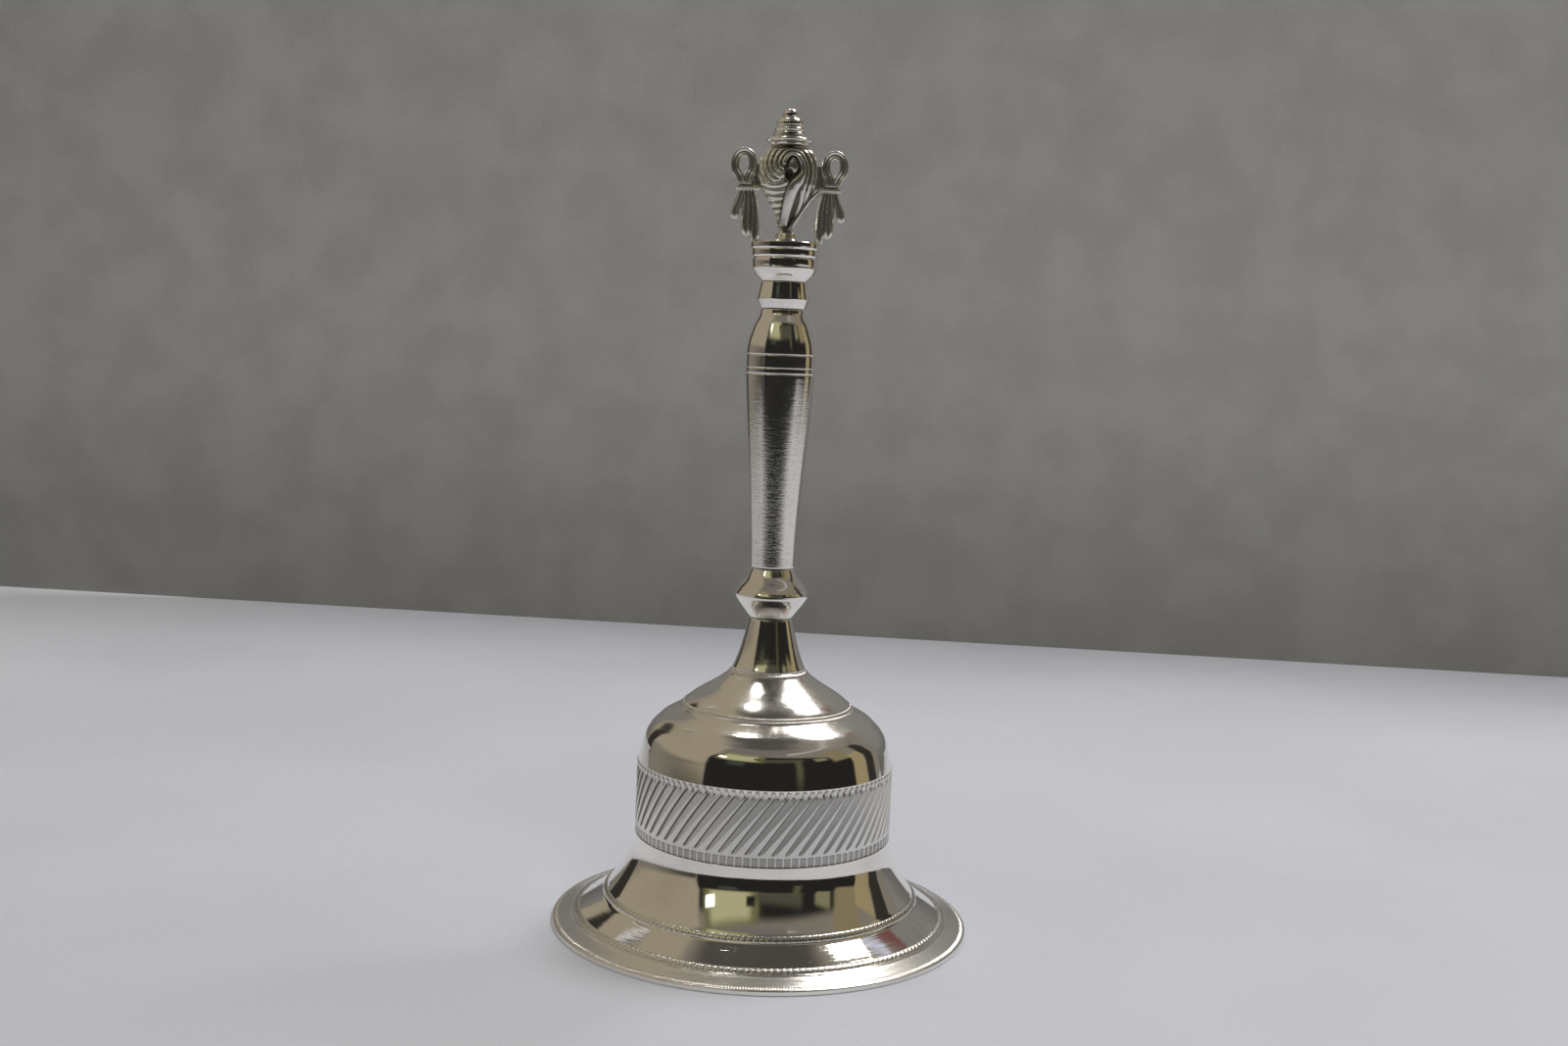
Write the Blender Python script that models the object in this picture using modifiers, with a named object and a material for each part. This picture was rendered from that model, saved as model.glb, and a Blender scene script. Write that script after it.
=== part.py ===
"""A puja hand bell: a cast bell cup, a stacked handle with a conch finial, and a hanging clapper.

The bell stands on its rim. The origin is the centre of the rim's underside, +Z is up and the
handle's ribbons lie along X. Sizes below are millimetres; meshes are made in metres.
"""
import bpy
import bmesh
from math import cos, radians, sin, tau
from mathutils import Matrix, Vector

MM = 0.001

# Driving dimensions
GAP = 0.3               # clearance between pieces that rest on or pass through each other
RIM_RADIUS = 39.0
RIM_THICKNESS = 1.0
FLANGE_INNER_RADIUS = 33.6
FLANGE_RISE = 1.9       # height of the flange's top face at its inner edge
WALL = 1.6
WAIST_RADIUS = 24.0
BAND_BOTTOM = 17.4
BAND_TOP = 30.4
DOME_CENTRE = (13.0, 32.0)
DOME_RADII = (10.0, 10.3)
CROWN_TOP = 48.4
CROWN_UNDERSIDE = 45.0
BEAD_LINE_RADIUS = 0.6

ROD_RADIUS = 2.0
BORE_RADIUS = ROD_RADIUS + GAP
ROD_BOTTOM = 42.0
ROD_TOP = 124.0

NECK_TOP = 58.0
KNOB_TOP = 67.3
GRIP_TOP = 115.1
COLLAR_TOP = 120.1
CUP_TOP = 127.3
CUP_RADIUS = 6.45
PEDESTAL_TOP = 128.9
CONCH_TOP = 144.2
CAP_TOP = 151.4
SPIGOT_RADIUS = 1.2

RIBBON_THICKNESS = 2.4
PEG_HEIGHT = 139.5
PEG_RADIUS = 0.6

EYE_CENTRE = 39.3       # fixed eye under the crown
EYE_RADIUS = 2.0
EYE_WIRE = 0.7
LINK_CENTRE = 36.4      # loose link, also its swing axis
LINK_RADIUS = 2.4
LINK_WIRE = 0.6
CLAPPER_PIVOT = 33.65   # eye of the clapper, also its swing axis
CLAPPER_EYE_RADIUS = 1.8
CLAPPER_EYE_WIRE = 0.65
CLAPPER_ROD_RADIUS = 1.2
BALL_RADIUS = 5.5
BALL_CENTRE = 8.5

SHELL_STEPS = 48
LARGE_STEPS = 24
SMALL_STEPS = 20


# ---------------------------------------------------------------- helpers

def clear_scene():
    for obj in list(bpy.data.objects):
        bpy.data.objects.remove(obj, do_unlink=True)


def new_collection(name):
    collection = bpy.data.collections.new(name)
    bpy.context.scene.collection.children.link(collection)
    return collection


def metal(name, color, roughness):
    """A plain metal with its own colour and roughness."""
    material = bpy.data.materials.new(name)
    material.use_nodes = True
    shader = material.node_tree.nodes["Principled BSDF"]
    shader.inputs["Base Color"].default_value = (*color, 1.0)
    shader.inputs["Metallic"].default_value = 1.0
    shader.inputs["Roughness"].default_value = roughness
    return material


def arc(centre, radii, start, end, count):
    """Points on an ellipse about centre, from one angle to another in degrees."""
    angles = [radians(start + (end - start) * i / count) for i in range(count + 1)]
    return [(centre[0] + radii[0] * cos(a), centre[1] + radii[1] * sin(a)) for a in angles]


def bezier(p0, p1, p2, p3, count):
    """Points along a cubic curve, both ends included."""
    points = []
    for i in range(count + 1):
        t = i / count
        weights = ((1 - t) ** 3, 3 * t * (1 - t) ** 2, 3 * t * t * (1 - t), t ** 3)
        points.append(tuple(sum(w * p[k] for w, p in zip(weights, (p0, p1, p2, p3))) for k in (0, 1)))
    return points


def smooth_by_angle(obj):
    obj.data.shade_smooth()
    obj.data.set_sharp_from_angle(angle=radians(35))


def evaluated_mesh(obj):
    """The object's mesh with its modifiers worked out."""
    depsgraph = bpy.context.evaluated_depsgraph_get()
    return bpy.data.meshes.new_from_object(obj.evaluated_get(depsgraph))


def turned(name, outline, steps, collection):
    """Turn (radius, height) points about Z: outer side downwards, a ring unless it ends on the axis."""
    mesh = bpy.data.meshes.new(name)
    count = len(outline)
    on_axis = outline[0][0] == 0 and outline[-1][0] == 0
    edges = [(i, i + 1) for i in range(count - 1)]
    if not on_axis:
        edges.append((count - 1, 0))
    mesh.from_pydata([(r * MM, 0.0, z * MM) for r, z in outline], edges, [])
    obj = bpy.data.objects.new(name, mesh)
    collection.objects.link(obj)
    screw = obj.modifiers.new("turn", "SCREW")
    screw.axis = "Z"
    screw.steps = steps
    screw.render_steps = steps
    screw.use_merge_vertices = True
    screw.merge_threshold = 0.000001
    obj.data = evaluated_mesh(obj)
    obj.data.name = name
    obj.modifiers.clear()
    smooth_by_angle(obj)
    return obj


def ring(name, radius, wire, height, plane_normal, collection):
    """A round wire ring centred on the Z axis, lying in the plane with the given normal."""
    bpy.ops.mesh.primitive_torus_add(major_radius=radius * MM, minor_radius=wire * MM,
                                     major_segments=24, minor_segments=10)
    obj = bpy.context.object
    turn = Vector((0, 0, 1)).rotation_difference(Vector(plane_normal)).to_matrix().to_4x4()
    obj.data.transform(Matrix.Translation((0, 0, height * MM)) @ turn)
    return named(obj, name, collection)


def cylinder(name, radius, start, end, collection, segments=16):
    """A closed cylinder between two points given in millimetres."""
    start = Vector(start) * MM
    end = Vector(end) * MM
    mesh = bpy.data.meshes.new(name)
    solid = bmesh.new()
    bmesh.ops.create_cone(solid, cap_ends=True, segments=segments, radius1=radius * MM,
                          radius2=radius * MM, depth=(end - start).length)
    turn = Vector((0, 0, 1)).rotation_difference(end - start).to_matrix().to_4x4()
    bmesh.ops.transform(solid, matrix=Matrix.Translation((start + end) / 2) @ turn, verts=solid.verts)
    solid.to_mesh(mesh)
    solid.free()
    obj = bpy.data.objects.new(name, mesh)
    collection.objects.link(obj)
    return obj


def named(obj, name, collection):
    """Name an object and move it into its collection."""
    obj.name = name
    obj.data.name = name
    for owner in list(obj.users_collection):
        owner.objects.unlink(obj)
    collection.objects.link(obj)
    return obj


def combine(obj, tool, operation):
    """Join or cut obj with a tool object, which stays as a hidden wire guide."""
    modifier = obj.modifiers.new(tool.name, "BOOLEAN")
    modifier.operation = operation
    modifier.solver = "EXACT"
    modifier.object = tool
    tool.hide_render = True
    tool.display_type = "WIRE"


def hang_on(obj, pivot):
    """Parent obj to a pivot and move its origin there, leaving its shape in place."""
    obj.data.transform(Matrix.Translation(-pivot.location))
    obj.parent = pivot


# ---------------------------------------------------------------- the bell cup

def bell_outer_side():
    """The outer profile from the crown's seat down to the rim's edge."""
    crown = [(BORE_RADIUS + GAP, CROWN_TOP)]
    shoulder = bezier((7.1, CROWN_TOP), (8.6, 47.2), (11.6, 45.2), (16.3, 42.5), 4)
    shoulder_bead = [(16.9, 42.1), (17.1, 41.6)]
    dome = arc(DOME_CENTRE, DOME_RADII, 63, 0, 7)
    ledge = [(23.1, BAND_TOP + 0.4), (WAIST_RADIUS - 0.2, BAND_TOP)]
    band = [(WAIST_RADIUS, BAND_BOTTOM + 1.6), (WAIST_RADIUS + 0.1, BAND_BOTTOM), (23.8, BAND_BOTTOM - 0.2)]
    skirt = bezier((23.9, 16.8), (24.0, 13.5), (26.9, 10.0), (28.7, 7.3), 5)
    upper_beads = arc((29.2, 6.55), (BEAD_LINE_RADIUS,) * 2, 80, -10, 2)
    cone = [(29.7, 5.75), (31.7, 4.3), (33.8, 3.2)]
    lower_beads = arc((34.3, 2.65), (BEAD_LINE_RADIUS,) * 2, 80, -10, 2)
    flange = [(35.3, FLANGE_RISE), (38.8, RIM_THICKNESS + 0.15), (RIM_RADIUS, RIM_THICKNESS)]
    return (crown + shoulder + shoulder_bead + dome + ledge + band + skirt
            + upper_beads + cone + lower_beads + flange)


def bell_inner_side():
    """The inner profile from the rim's underside up to the crown's underside."""
    rim = [(RIM_RADIUS, 0.2), (RIM_RADIUS - 0.2, 0.0), (FLANGE_INNER_RADIUS, 0.0)]
    skirt = bezier((28.2, 5.0), (25.4, 9.0), (22.6, 12.6), (WAIST_RADIUS - WALL - 0.1, 17.0), 4)
    dome = arc(DOME_CENTRE, (DOME_RADII[0] - WALL, DOME_RADII[1] - WALL), 0, 60, 4)
    waist = [(WAIST_RADIUS - WALL - 0.2, BAND_TOP - 1.0)]
    crown = [(6.2, CROWN_UNDERSIDE), (BORE_RADIUS + GAP, CROWN_UNDERSIDE)]
    return rim + skirt + waist + dome + crown


def make_bell_shell(parts):
    shell = turned("bell_shell", bell_outer_side() + bell_inner_side(), SHELL_STEPS, parts)
    shell.data.materials.append(metal("shell_silver_plate", (0.80, 0.77, 0.72), 0.10))
    return shell


# ---------------------------------------------------------------- the stacked handle

def make_neck_cone(parts):
    base = CROWN_TOP + GAP
    outline = [(BORE_RADIUS, NECK_TOP), (4.0, NECK_TOP), (5.23, 54.2), (6.4, 50.5), (7.1, base + 0.7),
               (7.1, base), (BORE_RADIUS, base)]
    neck = turned("neck_cone", outline, LARGE_STEPS, parts)
    neck.data.materials.append(metal("neck_silver_plate", (0.78, 0.75, 0.70), 0.12))
    return neck


def make_lower_knob(parts):
    base = NECK_TOP + GAP
    outline = [(BORE_RADIUS, KNOB_TOP), (3.9, KNOB_TOP), (5.58, 64.8), (6.6, 63.0), (6.77, 62.4),
               (6.5, 61.7), (4.85, 59.4), (4.0, base), (BORE_RADIUS, base)]
    knob = turned("lower_knob", outline, LARGE_STEPS, parts)
    knob.data.materials.append(metal("knob_silver_plate", (0.80, 0.77, 0.72), 0.10))
    return knob


def make_grip(parts):
    """The baluster grip, with two engraved lines round its widest part."""
    base = KNOB_TOP + GAP
    groove = 0.12
    top = [(BORE_RADIUS, GRIP_TOP), (4.18, GRIP_TOP)]
    belly = bezier((4.2, 113.9), (6.1, 111.6), (6.55, 108.5), (6.5, 107.1), 6)
    lines = [(6.5 - groove, 106.8), (6.5, 106.5), (6.5, 103.6), (6.5 - groove, 103.3)]
    taper = bezier((6.45, 103.0), (5.5, 91.0), (4.3, 80.0), (4.06, base), 10)
    grip = turned("grip", top + belly + lines + taper + [(BORE_RADIUS, base)], LARGE_STEPS, parts)
    grip.data.materials.append(metal("grip_silver_plate", (0.76, 0.73, 0.68), 0.16))
    return grip


def make_upper_collar(parts):
    base = GRIP_TOP + GAP
    outline = [(BORE_RADIUS, COLLAR_TOP), (4.2, COLLAR_TOP), (4.5, 119.0), (4.9, 117.2), (4.85, 116.7),
               (4.2, base), (BORE_RADIUS, base)]
    collar = turned("upper_collar", outline, LARGE_STEPS, parts)
    collar.data.materials.append(metal("collar_silver_plate", (0.80, 0.77, 0.72), 0.10))
    return collar


def make_finial_cup(parts):
    """A disc cup: a blind thread for the tie rod below, a socket for the conch's foot above."""
    base = COLLAR_TOP + GAP
    socket = SPIGOT_RADIUS + GAP
    outline = [(0, 125.6), (socket, 125.6), (socket, PEDESTAL_TOP), (1.9, PEDESTAL_TOP),
               (2.3, CUP_TOP + 0.1), (CUP_RADIUS - 0.2, CUP_TOP), (CUP_RADIUS, CUP_TOP - 0.3),
               (CUP_RADIUS, 125.0), (CUP_RADIUS - 0.2, 124.7), (CUP_RADIUS, 124.4), (6.1, 122.6),
               (5.0, 121.2), (4.3, base), (BORE_RADIUS, base), (BORE_RADIUS, ROD_TOP + GAP),
               (0, ROD_TOP + GAP)]
    cup = turned("finial_cup", outline, LARGE_STEPS, parts)
    cup.data.materials.append(metal("cup_silver_plate", (0.78, 0.75, 0.70), 0.12))
    return cup


# ---------------------------------------------------------------- the finial

def conch_section(height):
    """Half width, half depth and sideways offset of the conch at a height above its tip."""
    top = CONCH_TOP - 129.4
    rise = height / top
    swell = sin(min(rise / 0.78, 1.0) * radians(90)) ** 0.8
    crown = 1.0 - max(0.0, (rise - 0.78) / 0.22) ** 2 * 0.36
    half_width = (1.5 + 3.9 * swell) * crown
    half_depth = (1.5 + 2.8 * swell) * crown
    return half_width, half_depth, -0.3 * (1.0 - rise)


def make_conch(parts, cutters):
    """A pear-shaped shell lofted from ellipses, with a foot pin, a cap socket and two peg holes."""
    bottom = 129.4
    sections = [(126.0, SPIGOT_RADIUS, SPIGOT_RADIUS, 0.0), (bottom - 0.1, SPIGOT_RADIUS, SPIGOT_RADIUS, 0.0)]
    rows = 12
    for i in range(rows + 1):
        height = (CONCH_TOP - bottom) * i / rows
        sections.append((bottom + height, *conch_section(height)))
    solid = bmesh.new()
    loops = []
    for z, half_width, half_depth, offset in sections:
        angles = [tau * k / SMALL_STEPS for k in range(SMALL_STEPS)]
        loops.append([solid.verts.new(((offset + half_width * cos(a)) * MM, half_depth * sin(a) * MM, z * MM))
                      for a in angles])
    for low, high in zip(loops, loops[1:]):
        for k in range(SMALL_STEPS):
            after = (k + 1) % SMALL_STEPS
            solid.faces.new((low[k], low[after], high[after], high[k]))
    solid.faces.new(loops[0][::-1])
    solid.faces.new(loops[-1])
    mesh = bpy.data.meshes.new("conch")
    solid.to_mesh(mesh)
    solid.free()
    conch = bpy.data.objects.new("conch", mesh)
    parts.objects.link(conch)
    smooth_by_angle(conch)
    conch.data.materials.append(metal("conch_silver_plate", (0.72, 0.70, 0.66), 0.18))
    socket_radius = SPIGOT_RADIUS + GAP
    socket = cylinder("conch_socket", socket_radius, (0, 0, CONCH_TOP - 3.3), (0, 0, CONCH_TOP + 1), cutters)
    combine(conch, socket, "DIFFERENCE")
    for side, label in ((-1, "left"), (1, "right")):
        hole = cylinder("peg_hole_" + label, PEG_RADIUS + GAP, (side * 3.2, 0, PEG_HEIGHT),
                        (side * 7.0, 0, PEG_HEIGHT), cutters)
        combine(conch, hole, "DIFFERENCE")
    return conch


def ribbon_outline():
    """The right ribbon's silhouette, (x, z): a loop above the tie band and three tail lobes below."""
    loop = [(6.2, 138.2), (6.2, 140.6), (6.8, 142.8), (8.3, 143.8), (9.9, 142.9), (10.45, 141.0),
            (9.8, 138.9), (9.0, 137.5)]
    band_outside = [(9.6, 136.9), (9.5, 136.2), (9.1, 135.6)]
    outer_lobe = [(9.7, 133.6), (10.3, 132.0), (9.8, 131.2), (9.0, 131.6), (8.6, 132.6)]
    inner_lobes = [(8.5, 130.2), (8.1, 128.3), (7.4, 127.7), (6.8, 127.8), (6.2, 129.4), (5.7, 131.6),
                   (5.5, 134.0)]
    band_inside = [(5.7, 136.2), (5.8, 136.9)]
    return loop + band_outside + outer_lobe + inner_lobes + band_inside


def ribbon_eye():
    """The teardrop opening in the loop."""
    return [(8.3, 138.7), (9.2, 140.3), (9.4, 141.3), (8.4, 142.0), (7.4, 141.3), (7.5, 140.0)]


def add_loop(curve, points, side):
    """A closed smooth loop of (x, z) points, mirrored for the left ribbon."""
    spline = curve.splines.new("BEZIER")
    spline.bezier_points.add(len(points) - 1)
    for target, (x, z) in zip(spline.bezier_points, points):
        target.co = (side * x * MM, z * MM, 0.0)
        target.handle_left_type = "AUTO"
        target.handle_right_type = "AUTO"
    spline.use_cyclic_u = True
    spline.resolution_u = 2


def make_ribbon(label, side, parts, cutters):
    """A flat ribbon cut from plate, with a peg that is soldered into the conch's side."""
    name = "ribbon_" + label
    curve = bpy.data.curves.new(name, "CURVE")
    curve.dimensions = "2D"
    curve.fill_mode = "BOTH"
    curve.extrude = RIBBON_THICKNESS / 2 * MM
    add_loop(curve, ribbon_outline(), side)
    add_loop(curve, ribbon_eye(), side)
    flat = bpy.data.objects.new(name + "_outline", curve)
    parts.objects.link(flat)
    flat.rotation_euler = (radians(90), 0, 0)
    bpy.context.view_layer.update()
    mesh = evaluated_mesh(flat)
    mesh.transform(flat.matrix_world)
    bpy.data.objects.remove(flat)
    solid = bmesh.new()
    solid.from_mesh(mesh)
    bmesh.ops.remove_doubles(solid, verts=solid.verts, dist=0.000001)
    bmesh.ops.recalc_face_normals(solid, faces=solid.faces)
    solid.to_mesh(mesh)
    solid.free()
    ribbon = bpy.data.objects.new(name, mesh)
    mesh.name = name
    parts.objects.link(ribbon)
    smooth_by_angle(ribbon)
    ribbon.data.materials.append(metal(name + "_silver_plate", (0.72, 0.70, 0.66), 0.18))
    peg = cylinder(name + "_peg", PEG_RADIUS, (side * 3.6, 0, PEG_HEIGHT), (side * 6.8, 0, PEG_HEIGHT),
                   cutters, 12)
    combine(ribbon, peg, "UNION")
    return ribbon


def make_finial_cap(parts):
    """The stepped cap: a brim, two tiers, a drum and a ball tip, on a spigot in the conch."""
    base = CONCH_TOP + GAP
    ball_radius = 1.3
    ball_centre = CAP_TOP - ball_radius
    ball = arc((0, ball_centre), (ball_radius, ball_radius), 90, -50, 6)
    ball[0] = (0, CAP_TOP)
    tiers = [(2.2, 149.0), (2.3, 148.3), (2.6, 148.0), (2.9, 147.8), (2.9, 147.3), (3.2, 147.0),
             (3.5, 146.8), (3.5, 146.4), (4.2, 145.9), (4.4, 145.6), (4.3, 145.3)]
    seat = [(3.4, 145.0), (3.3, base), (SPIGOT_RADIUS, base), (SPIGOT_RADIUS, base - 3.0), (0, base - 3.0)]
    cap = turned("finial_cap", ball + tiers + seat, SMALL_STEPS, parts)
    cap.data.materials.append(metal("cap_silver_plate", (0.80, 0.77, 0.72), 0.10))
    return cap


# ---------------------------------------------------------------- fastenings

def make_tie_rod(parts):
    """The threaded rod that clamps the handle's pieces on the crown."""
    chamfer = 0.4
    outline = [(0, ROD_TOP), (ROD_RADIUS - chamfer, ROD_TOP), (ROD_RADIUS, ROD_TOP - chamfer),
               (ROD_RADIUS, ROD_BOTTOM + chamfer), (ROD_RADIUS - chamfer, ROD_BOTTOM), (0, ROD_BOTTOM)]
    rod = turned("tie_rod", outline, SMALL_STEPS, parts)
    rod.data.materials.append(metal("rod_steel", (0.55, 0.55, 0.56), 0.35))
    return rod


def make_crown_washer(parts):
    top = CROWN_UNDERSIDE - GAP
    bottom = top - 0.6
    outline = [(BORE_RADIUS + 0.1, top), (5.3, top), (5.5, top - 0.2), (5.5, bottom), (BORE_RADIUS + 0.1, bottom)]
    washer = turned("crown_washer", outline, SMALL_STEPS, parts)
    washer.data.materials.append(metal("washer_brass", (0.72, 0.52, 0.26), 0.30))
    return washer


def make_eye_nut(parts, cutters):
    """A hexagon nut with a blind bore above and a ring eye below."""
    top = CROWN_UNDERSIDE - 2 * GAP - 0.6
    bottom = 40.9
    across_corners = 9.24
    nut = cylinder("eye_nut", across_corners / 2, (0, 0, bottom), (0, 0, top), parts, 6)
    eye = ring("eye_nut_ring", EYE_RADIUS, EYE_WIRE, EYE_CENTRE, (0, 1, 0), cutters)
    combine(nut, eye, "UNION")
    bore = cylinder("eye_nut_bore", BORE_RADIUS, (0, 0, ROD_BOTTOM - GAP), (0, 0, top + 1.0), cutters, 24)
    combine(nut, bore, "DIFFERENCE")
    nut.data.materials.append(metal("nut_brass", (0.72, 0.52, 0.26), 0.30))
    return nut


# ---------------------------------------------------------------- the clapper

def make_pivot(name, height):
    """An empty on a swing axis."""
    pivot = bpy.data.objects.new(name, None)
    pivot.empty_display_size = 0.004
    pivot.location = (0, 0, height * MM)
    bpy.context.scene.collection.objects.link(pivot)
    return pivot


def make_clapper_link(parts, pivot):
    link = ring("clapper_link", LINK_RADIUS, LINK_WIRE, LINK_CENTRE, (1, 0, 0), parts)
    smooth_by_angle(link)
    link.data.materials.append(metal("link_steel", (0.55, 0.55, 0.56), 0.30))
    hang_on(link, pivot)
    return link


def make_clapper_rod(parts, cutters, pivot):
    """The clapper's rod: an eye on top, a collar above the ball and a riveted end below it."""
    seat_above = BALL_CENTRE + BALL_RADIUS + 0.1
    seat_below = BALL_CENTRE - BALL_RADIUS - 0.1
    radius = CLAPPER_ROD_RADIUS
    outline = [(0, 32.2), (0.45, 32.2), (0.6, 31.2), (radius, 29.5), (radius, seat_above + 1.2),
               (1.9, seat_above + 0.9), (1.9, seat_above + 0.1), (radius, seat_above),
               (radius, seat_below), (1.9, seat_below - 0.1), (1.9, seat_below - 0.6),
               (radius, seat_below - 1.1), (0, seat_below - 1.2)]
    rod = turned("clapper_rod", outline, 20, parts)
    eye = ring("clapper_rod_eye", CLAPPER_EYE_RADIUS, CLAPPER_EYE_WIRE, CLAPPER_PIVOT, (0, 1, 0), cutters)
    rod.data.materials.append(metal("clapper_rod_brass", (0.70, 0.51, 0.27), 0.32))
    hang_on(rod, pivot)
    hang_on(eye, pivot)
    combine(rod, eye, "UNION")
    return rod


def make_clapper_ball(parts, pivot):
    """The striking ball, bored through for the rod."""
    bore = CLAPPER_ROD_RADIUS + GAP
    half_height = (BALL_RADIUS ** 2 - bore ** 2) ** 0.5
    angle = 73.0
    sphere = arc((0, BALL_CENTRE), (BALL_RADIUS, BALL_RADIUS), angle, -angle, 8)
    outline = [(bore, BALL_CENTRE + half_height)] + sphere + [(bore, BALL_CENTRE - half_height)]
    ball = turned("clapper_ball", outline, SMALL_STEPS, parts)
    ball.data.materials.append(metal("ball_brass", (0.74, 0.54, 0.28), 0.28))
    hang_on(ball, pivot)
    return ball


def main():
    clear_scene()
    parts = new_collection("Puja hand bell")
    cutters = new_collection("Cutters")
    link_pivot = make_pivot("link_pivot", LINK_CENTRE)
    clapper_pivot = make_pivot("clapper_pivot", CLAPPER_PIVOT)
    make_bell_shell(parts)
    make_neck_cone(parts)
    make_lower_knob(parts)
    make_grip(parts)
    make_upper_collar(parts)
    make_finial_cup(parts)
    make_conch(parts, cutters)
    make_ribbon("left", -1, parts, cutters)
    make_ribbon("right", 1, parts, cutters)
    make_finial_cap(parts)
    make_tie_rod(parts)
    make_crown_washer(parts)
    make_eye_nut(parts, cutters)
    make_clapper_link(parts, link_pivot)
    make_clapper_rod(parts, cutters, clapper_pivot)
    make_clapper_ball(parts, clapper_pivot)


main()
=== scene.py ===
"""Looks for the puja hand bell: fine turned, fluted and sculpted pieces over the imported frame."""
from math import cos, pi, radians, sin, tau

import bpy
import numpy as np
from mathutils import Matrix, Vector


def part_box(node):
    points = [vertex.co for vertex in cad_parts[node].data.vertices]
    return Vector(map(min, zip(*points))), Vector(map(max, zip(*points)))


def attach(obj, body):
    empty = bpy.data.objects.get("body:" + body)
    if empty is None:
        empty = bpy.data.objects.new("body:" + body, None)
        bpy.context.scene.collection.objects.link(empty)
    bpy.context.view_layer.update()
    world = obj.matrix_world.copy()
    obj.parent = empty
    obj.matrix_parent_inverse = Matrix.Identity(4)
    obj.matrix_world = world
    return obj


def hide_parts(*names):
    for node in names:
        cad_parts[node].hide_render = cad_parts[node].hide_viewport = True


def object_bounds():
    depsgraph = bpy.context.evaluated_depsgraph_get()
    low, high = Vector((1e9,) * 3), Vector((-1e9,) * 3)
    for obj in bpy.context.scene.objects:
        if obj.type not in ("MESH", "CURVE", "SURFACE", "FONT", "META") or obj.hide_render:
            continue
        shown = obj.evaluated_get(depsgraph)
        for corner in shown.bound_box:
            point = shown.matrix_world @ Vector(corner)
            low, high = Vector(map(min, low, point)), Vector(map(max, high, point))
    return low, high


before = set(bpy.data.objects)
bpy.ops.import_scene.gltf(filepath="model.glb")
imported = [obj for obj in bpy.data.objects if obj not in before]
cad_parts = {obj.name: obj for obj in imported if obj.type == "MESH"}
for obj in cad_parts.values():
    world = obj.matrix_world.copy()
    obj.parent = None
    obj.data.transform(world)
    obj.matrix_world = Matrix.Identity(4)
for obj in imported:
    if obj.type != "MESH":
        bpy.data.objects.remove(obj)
CAD_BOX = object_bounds()
MM = 0.001


def span(node):
    """A node's half width and its lowest and highest heights, in millimetres."""
    low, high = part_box(node)
    return high.x / MM, low.z / MM, high.z / MM


RIM_RADIUS, _, CROWN_TOP = span("bell_shell")
ROD_RADIUS, _, _ = span("tie_rod")
BORE = ROD_RADIUS + 0.3


# ---------------------------------------------------------------- outlines

def arc(centre, radii, start, end, count):
    """Points on an ellipse from one angle to another, in degrees."""
    angles = np.radians(np.linspace(start, end, count + 1))
    return [(centre[0] + radii[0] * cos(a), centre[1] + radii[1] * sin(a)) for a in angles]


def bezier(p0, p1, p2, p3, count):
    """Points along a cubic curve, both ends included."""
    t = np.linspace(0.0, 1.0, count + 1)[:, None]
    p0, p1, p2, p3 = (np.array(p, float) for p in (p0, p1, p2, p3))
    curve = (1 - t) ** 3 * p0 + 3 * t * (1 - t) ** 2 * p1 + 3 * t * t * (1 - t) * p2 + t ** 3 * p3
    return [tuple(p) for p in curve]


def flow(points, count):
    """A smooth curve through a few points (Catmull-Rom), count steps a stretch."""
    p = [np.array(q, float) for q in points]
    p = [2 * p[0] - p[1]] + p + [2 * p[-1] - p[-2]]
    out = []
    for a, b, c, d in zip(p, p[1:], p[2:], p[3:]):
        for t in np.arange(count) / count:
            out.append(tuple(0.5 * (2 * b + (c - a) * t + (2 * a - 5 * b + 4 * c - d) * t * t
                                    + (3 * b - a - 3 * c + d) * t ** 3)))
    return out + [tuple(p[-2])]


def fillet(points, radius, closed=True, steps=4):
    """Rounds each sharp corner of an outline with a short curve."""
    out = []
    count = len(points)
    for i, corner in enumerate(points):
        here = np.array(corner, float)
        if not closed and i in (0, count - 1):
            out.append(tuple(here))
            continue
        before = np.array(points[i - 1], float) - here
        after = np.array(points[(i + 1) % count], float) - here
        a, b = np.linalg.norm(before), np.linalg.norm(after)
        bend = pi - np.arccos(np.clip(before @ after / (a * b), -1, 1))
        if bend < radians(14):
            out.append(tuple(here))
            continue
        reach = min(radius, 0.45 * a, 0.45 * b)
        start, end = here + before / a * reach, here + after / b * reach
        for t in np.linspace(0, 1, steps + 1):
            out.append(tuple((1 - t) ** 2 * start + 2 * t * (1 - t) * here + t * t * end))
    return out


# ---------------------------------------------------------------- meshes

def piece(name, verts, faces, material, nodes, body="bell", slot="silver_plate", sharp=40, painted_shade=None):
    """A mesh object from vertices in millimetres; it rides a body and stands for CAD nodes.

    Its last argument gives, from 0 to 1 for each vertex, the shade painted into the relief's recesses.
    """
    mesh = bpy.data.meshes.new(name)
    mesh.from_pydata((np.asarray(verts, float) * MM).tolist(), [], faces)
    if painted_shade is not None:
        layer = mesh.attributes.new("painted_shade", "FLOAT", "POINT")
        layer.data.foreach_set("value", np.asarray(painted_shade, np.float32))
    mesh.shade_smooth()
    mesh.set_sharp_from_angle(angle=radians(sharp))
    obj = bpy.data.objects.new(name, mesh)
    bpy.context.scene.collection.objects.link(obj)
    return dress(obj, material, nodes, body, slot)


def dress(obj, material, nodes, body="bell", slot="silver_plate"):
    """Gives a finished object its material, its body and the CAD nodes that it stands for."""
    obj.data.materials.clear()
    obj.data.materials.append(material)
    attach(obj, body)
    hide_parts(*nodes)
    return obj


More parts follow.
